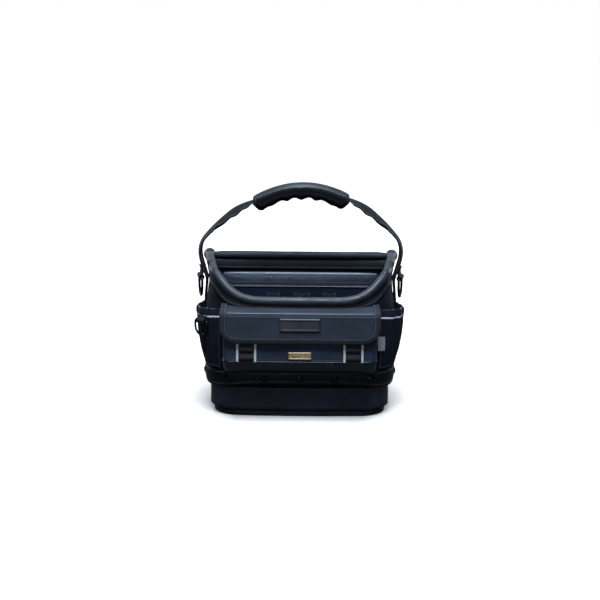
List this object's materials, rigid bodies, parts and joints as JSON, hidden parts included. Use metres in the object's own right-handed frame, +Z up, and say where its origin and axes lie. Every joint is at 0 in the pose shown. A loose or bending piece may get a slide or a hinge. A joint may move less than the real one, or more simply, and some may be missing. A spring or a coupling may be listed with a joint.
{
  "type": "open top tool tote",
  "caption": "Open top fabric tool tote with a moulded base, padded rim, flapped front pocket, open side pockets, inner divider with a tool panel, and a strap handle with a moulded grip.",
  "frame": {"origin": "centre of the moulded base's flat underside", "axes": "+Z up towards the handle, -Y towards the front pocket, +X to the right as seen from the front"},
  "size_m": [0.3622, 0.2853, 0.387],
  "materials": {
    "base_rubber": "matte moulded rubber, near black",
    "body_nylon": "coarse ballistic weave, near black",
    "navy_fabric": "coarse ballistic weave, very dark navy",
    "coated_fabric": "smooth coated fabric with a soft sheen, near black",
    "rim_leather": "smooth grained leather-like cover, satin",
    "grip_rubber": "fine grained moulded rubber, satin",
    "webbing": "tight polyester web, matte black",
    "reflector": "bright grey reflective tape, satin",
    "dark_metal": "gloss black plated",
    "tag_brass": "satin antique brass",
    "woven_label": "fine woven grey label, matte"
  },
  "bodies": {
    "tote": {"base_tray": "base_rubber", "body_shell": "body_nylon", "skirt_band": "coated_fabric", "rivet_front_1": "dark_metal", "rivet_front_2": "dark_metal", "rivet_front_3": "dark_metal", "rivet_front_4": "dark_metal", "rivet_front_5": "dark_metal", "rivet_back_1": "dark_metal", "rivet_back_2": "dark_metal", "rivet_back_3": "dark_metal", "rivet_back_4": "dark_metal", "rivet_back_5": "dark_metal", "rivet_left_1": "dark_metal", "rivet_left_2": "dark_metal", "rivet_left_3": "dark_metal", "rivet_right_1": "dark_metal", "rivet_right_2": "dark_metal", "rivet_right_3": "dark_metal", "rim_front_tube": "rim_leather", "rim_back_tube": "rim_leather", "front_pocket": "navy_fabric", "front_flap": "body_nylon", "flap_binding": "webbing", "label_patch": "grip_rubber", "metal_tag": "tag_brass", "web_chain_left": "webbing", "reflector_left_outer": "reflector", "reflector_left_inner": "reflector", "web_chain_right": "webbing", "reflector_right_inner": "reflector", "reflector_right_outer": "reflector", "side_pocket_left": "navy_fabric", "pocket_cuff_left": "navy_fabric", "pocket_stripe_left": "reflector", "side_pocket_right": "navy_fabric", "pocket_cuff_right": "navy_fabric", "pocket_stripe_right": "reflector", "woven_tag": "woven_label", "handle_grip": "grip_rubber", "handle_strap_left": "webbing", "handle_strap_right": "webbing", "ring_loop_left": "webbing", "ring_loop_right": "webbing", "pocket_ring_loop": "webbing", "divider_panel": "coated_fabric", "tool_panel": "body_nylon", "tool_panel_binding": "webbing", "tool_loop_left": "webbing", "tool_loop_middle": "webbing", "tool_loop_right": "webbing"},
    "left_ring": {"d_ring_left": "dark_metal"},
    "right_ring": {"d_ring_right": "dark_metal"},
    "small_ring": {"pocket_ring": "dark_metal"}
  },
  "joints": [
    {"name": "left_ring_swing", "type": "hinge", "parent": "tote", "child": "left_ring", "pos_m": [-0.17386, 0, 0.222], "axis": [-0.2079, 0.9781, 0], "range_deg": [0, 100]},
    {"name": "right_ring_swing", "type": "hinge", "parent": "tote", "child": "right_ring", "pos_m": [0.17384, 0, 0.222], "axis": [-0.2079, -0.9781, 0], "range_deg": [0, 100]},
    {"name": "small_ring_swing", "type": "hinge", "parent": "tote", "child": "small_ring", "pos_m": [-0.16619, -0.09772, 0.165], "axis": [-0.7121, 0.7021, 0], "range_deg": [0, 100]}
  ]
}
